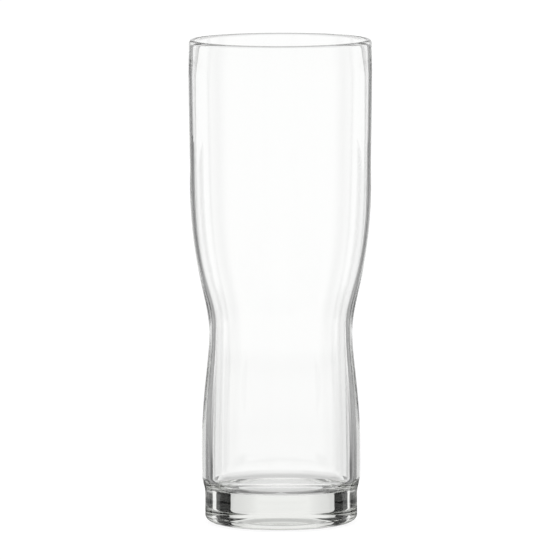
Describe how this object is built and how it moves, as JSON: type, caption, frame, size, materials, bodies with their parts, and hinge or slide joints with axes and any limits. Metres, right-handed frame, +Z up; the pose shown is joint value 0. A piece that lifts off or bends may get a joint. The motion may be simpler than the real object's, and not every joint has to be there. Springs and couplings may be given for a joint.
{
  "type": "pilsner glass",
  "caption": "Tall clear pilsner glass: a waisted, open bowl with a rounded lip on a solid, slightly narrower foot, for serving beer.",
  "frame": {"origin": "middle of the flat ring that the glass stands on, at table level", "axes": "+Z up along the axis of the glass; it is round, so X and Y are free"},
  "size_m": [0.072, 0.072, 0.19],
  "materials": {
    "clear_glass": "clear, colourless, fire-polished"
  },
  "bodies": {
    "root": {"bowl": "clear_glass", "foot": "clear_glass"}
  },
  "joints": []
}
